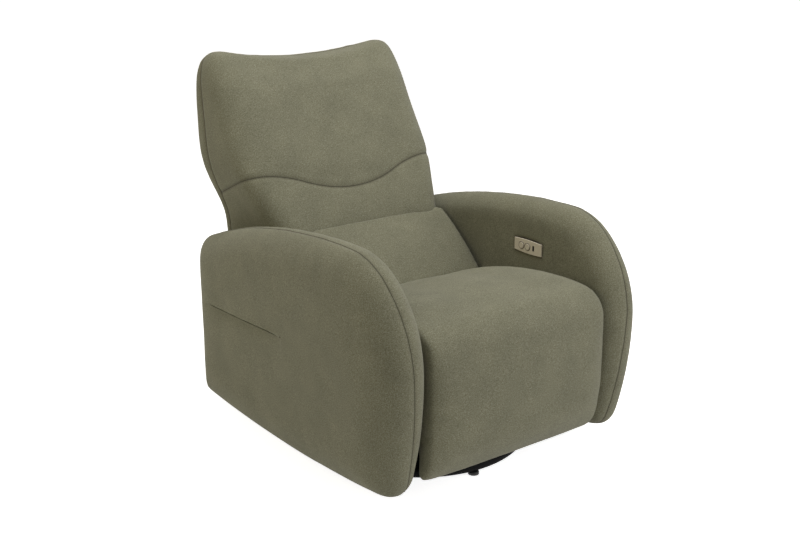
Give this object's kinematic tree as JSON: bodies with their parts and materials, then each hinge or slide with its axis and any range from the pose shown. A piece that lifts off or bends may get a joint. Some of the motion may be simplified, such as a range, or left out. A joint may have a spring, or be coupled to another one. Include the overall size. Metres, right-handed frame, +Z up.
{
  "type": "home theater recliner",
  "caption": "Padded power recliner with rounded arms, lumbar bolster, reclining back, hinged footrest, side pocket, inner-arm control plate and a swivel ring base.",
  "frame": {"origin": "under the middle of the chair's box, on the floor", "axes": "+Z up; the chair faces -Y; +X towards the sitter's left"},
  "size_m": [0.7962, 1.0462, 0.982],
  "materials": {
    "upholstery": "matte",
    "webbing": "matte",
    "frame_wood": "matte",
    "black_steel": "satin",
    "bright_steel": "satin",
    "black_plastic": "matte",
    "taupe_satin": "satin"
  },
  "bodies": {
    "base": {"base_ring": "black_steel", "base_pan": "black_steel", "base_glides": "black_plastic", "base_hub": "black_steel", "swivel_lower_plate": "black_steel", "swivel_balls": "bright_steel", "swivel_bolt": "bright_steel"},
    "backrest": {"back_upper_pad": "upholstery", "back_lower_pad": "upholstery", "lumbar_bolster": "upholstery", "back_cover": "upholstery", "left_back_post": "frame_wood", "right_back_post": "frame_wood", "back_rails": "frame_wood", "back_straps": "webbing", "back_hinge_plates": "black_steel", "back_lever": "black_steel"},
    "footrest": {"footrest_pad": "upholstery", "footrest_board": "frame_wood", "footrest_ears": "black_steel", "footrest_lever": "black_steel"},
    "footrest_rod": {"footrest_actuator_rod": "bright_steel"},
    "back_rod": {"back_actuator_rod": "bright_steel"},
    "open_button": {"button_open": "taupe_satin"},
    "close_button": {"button_close": "taupe_satin"},
    "chassis": {"left_arm_band": "upholstery", "right_arm_band": "upholstery", "left_arm_panel": "upholstery", "right_arm_panel": "upholstery", "side_pocket": "upholstery", "seat_cushion": "upholstery", "seat_nose": "upholstery", "left_arm_board": "frame_wood", "right_arm_board": "frame_wood", "left_seat_rail": "frame_wood", "right_seat_rail": "frame_wood", "seat_front_rail": "frame_wood", "seat_rear_rail": "frame_wood", "rear_apron": "upholstery", "swivel_upper_plate": "black_steel", "front_cross_tube": "black_steel", "rear_cross_tube": "black_steel", "left_base_rail": "black_steel", "right_base_rail": "black_steel", "seat_risers": "black_steel", "footrest_brackets": "black_steel", "back_brackets": "black_steel", "actuator_mounts": "black_steel", "arm_bolts": "bright_steel", "hinge_pins": "bright_steel", "actuator_pins": "bright_steel", "seat_springs": "bright_steel", "control_housing": "black_plastic", "usb_port": "black_plastic", "power_socket": "black_plastic", "footrest_actuator_motor": "black_plastic", "footrest_actuator_guide": "black_plastic", "back_actuator_motor": "black_plastic", "back_actuator_guide": "black_plastic", "control_plate": "taupe_satin"}
  },
  "joints": [
    {"name": "swivel", "type": "hinge", "parent": "base", "child": "chassis", "pos_m": [0, -0.102, 0.12], "axis": [0, 0, 1], "continuous": true},
    {"name": "back_recline", "type": "hinge", "parent": "chassis", "child": "backrest", "pos_m": [0, 0.158, 0.33], "axis": [-1, 0, 0], "range_deg": [0, 36]},
    {"name": "footrest_swing", "type": "hinge", "parent": "chassis", "child": "footrest", "pos_m": [0, -0.437, 0.385], "axis": [-1, 0, 0], "range_deg": [0, 82], "deforming": ["seat_nose"]},
    {"name": "footrest_rod_slide", "type": "slide", "parent": "chassis", "child": "footrest_rod", "axis": [0, -1, 0], "range_m": [0, 0.20863]},
    {"name": "back_rod_slide", "type": "slide", "parent": "chassis", "child": "back_rod", "axis": [0, -1, 0], "range_m": [0, 0.06823]},
    {"name": "open_button_press", "type": "slide", "parent": "chassis", "child": "open_button", "axis": [1, 0, 0], "range_m": [0, 0.0015], "stiffness_N_per_m": 600},
    {"name": "close_button_press", "type": "slide", "parent": "chassis", "child": "close_button", "axis": [1, 0, 0], "range_m": [0, 0.0015], "stiffness_N_per_m": 600}
  ],
  "couplings": [
    {"joint": "footrest_rod_slide", "follows": "footrest_swing", "m_per_rad": 0.14577},
    {"joint": "back_rod_slide", "follows": "back_recline", "m_per_rad": 0.1086}
  ]
}
